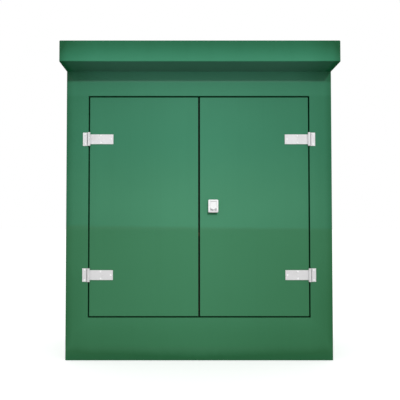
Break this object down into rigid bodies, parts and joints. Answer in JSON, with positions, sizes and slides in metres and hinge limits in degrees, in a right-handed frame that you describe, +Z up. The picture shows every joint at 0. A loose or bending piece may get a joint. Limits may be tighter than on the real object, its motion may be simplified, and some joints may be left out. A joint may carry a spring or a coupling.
{
  "type": "backflow preventer enclosure",
  "caption": "Green moulded kiosk with a front roof overhang, lockable double doors on strap hinges and a reduced-pressure backflow preventer on risers inside.",
  "frame": {"origin": "middle of the enclosure's box, on the base plane", "axes": "+Z up, front with the doors towards -Y, +X to the right seen from the front"},
  "size_m": [1.2, 0.75, 1.39],
  "materials": {
    "green_moulding": "satin gel coat",
    "grey_moulding": "smooth flow coat",
    "rubber": "matt",
    "board": "sealed",
    "stainless_steel": "brushed",
    "zinc_plate": "zinc plated",
    "bronze": "as cast",
    "copper": "drawn"
  },
  "bodies": {
    "cabinet": {"body_shell": "green_moulding", "front_frame": "green_moulding", "roof_cap": "green_moulding", "roof_liner": "green_moulding", "back_board": "board", "door_seal": "rubber", "left_frame_leaves": "stainless_steel", "right_frame_leaves": "stainless_steel", "hinge_pins": "zinc_plate", "frame_hinge_screws": "stainless_steel", "valve_body": "bronze", "check_covers": "bronze", "valve_bolts": "zinc_plate", "first_check_spring": "stainless_steel", "second_check_spring": "stainless_steel", "relief_body": "bronze", "relief_cover": "bronze", "relief_spring": "stainless_steel", "sensing_line": "copper", "test_cocks": "bronze", "union_nuts": "bronze", "inlet_valve": "bronze", "outlet_valve": "bronze", "inlet_riser": "copper", "outlet_riser": "copper", "pipe_clamps": "zinc_plate", "clamp_fronts": "zinc_plate", "clamp_bolts": "stainless_steel"},
    "left_door": {"left_door_skin": "green_moulding", "left_door_liner": "grey_moulding", "left_meeting_seal": "rubber", "left_upper_strap": "stainless_steel", "left_lower_strap": "stainless_steel", "left_strap_screws": "stainless_steel", "bolt_housings": "stainless_steel", "strike_bracket": "zinc_plate"},
    "right_door": {"right_door_skin": "green_moulding", "right_door_liner": "grey_moulding", "right_meeting_seal": "rubber", "right_upper_strap": "stainless_steel", "right_lower_strap": "stainless_steel", "right_strap_screws": "stainless_steel", "lock_housing": "stainless_steel", "flap_pin": "zinc_plate", "lock_case": "zinc_plate", "rod_guides": "zinc_plate"},
    "weather_flap": {"lock_flap": "stainless_steel"},
    "lock_core": {"lock_spindle": "zinc_plate", "lock_cam": "zinc_plate"},
    "upper_rod": {"upper_lock_rod": "zinc_plate"},
    "lower_rod": {"lower_lock_rod": "zinc_plate"},
    "upper_bolt": {"upper_shoot_bolt": "stainless_steel"},
    "lower_bolt": {"lower_shoot_bolt": "stainless_steel"},
    "inlet_handle": {"inlet_ball": "stainless_steel", "inlet_lever": "stainless_steel"},
    "outlet_handle": {"outlet_ball": "stainless_steel", "outlet_lever": "stainless_steel"},
    "first_check": {"first_check_poppet": "zinc_plate"},
    "second_check": {"second_check_poppet": "zinc_plate"},
    "relief_spool": {"relief_piston": "zinc_plate"}
  },
  "joints": [
    {"name": "left_door_swing", "type": "hinge", "parent": "cabinet", "child": "left_door", "pos_m": [-0.49575, -0.2321, 0.689], "axis": [0, 0, -1], "range_deg": [0, 175]},
    {"name": "right_door_swing", "type": "hinge", "parent": "cabinet", "child": "right_door", "pos_m": [0.49575, -0.2321, 0.689], "axis": [0, 0, 1], "range_deg": [0, 175]},
    {"name": "flap_lift", "type": "hinge", "parent": "right_door", "child": "weather_flap", "pos_m": [0.063, -0.2435, 0.7055], "axis": [-1, 0, 0], "range_deg": [0, 100]},
    {"name": "lock_turn", "type": "hinge", "parent": "right_door", "child": "lock_core", "pos_m": [0.063, -0.2, 0.689], "axis": [0, 1, 0], "range_deg": [0, 90]},
    {"name": "upper_rod_slide", "type": "slide", "parent": "right_door", "child": "upper_rod", "axis": [0, 0, 1], "range_m": [0, 0.0236]},
    {"name": "lower_rod_slide", "type": "slide", "parent": "right_door", "child": "lower_rod", "axis": [0, 0, -1], "range_m": [0, 0.0236]},
    {"name": "upper_bolt_slide", "type": "slide", "parent": "left_door", "child": "upper_bolt", "axis": [0, 0, 1], "range_m": [0, 0.02]},
    {"name": "lower_bolt_slide", "type": "slide", "parent": "left_door", "child": "lower_bolt", "axis": [0, 0, -1], "range_m": [0, 0.02]},
    {"name": "inlet_lever_turn", "type": "hinge", "parent": "cabinet", "child": "inlet_handle", "pos_m": [-0.22, 0.231, 0.64], "axis": [0, 0, 1], "range_deg": [0, 90]},
    {"name": "outlet_lever_turn", "type": "hinge", "parent": "cabinet", "child": "outlet_handle", "pos_m": [0.22, 0.231, 0.64], "axis": [0, 0, -1], "range_deg": [0, 90]},
    {"name": "first_check_lift", "type": "slide", "parent": "cabinet", "child": "first_check", "axis": [0, 0, 1], "range_m": [0, 0.014], "stiffness_N_per_m": 1500, "springref_m": -0.02, "deforming": ["first_check_spring"]},
    {"name": "second_check_lift", "type": "slide", "parent": "cabinet", "child": "second_check", "axis": [0, 0, 1], "range_m": [0, 0.014], "stiffness_N_per_m": 900, "springref_m": -0.02, "deforming": ["second_check_spring"]},
    {"name": "relief_close", "type": "slide", "parent": "cabinet", "child": "relief_spool", "axis": [0, 0, 1], "range_m": [0, 0.008], "stiffness_N_per_m": 1200, "springref_m": -0.015, "deforming": ["relief_spring"]}
  ],
  "couplings": [
    {"joint": "upper_rod_slide", "follows": "lock_turn", "m_per_rad": 0.015},
    {"joint": "lower_rod_slide", "follows": "lock_turn", "m_per_rad": 0.015}
  ]
}
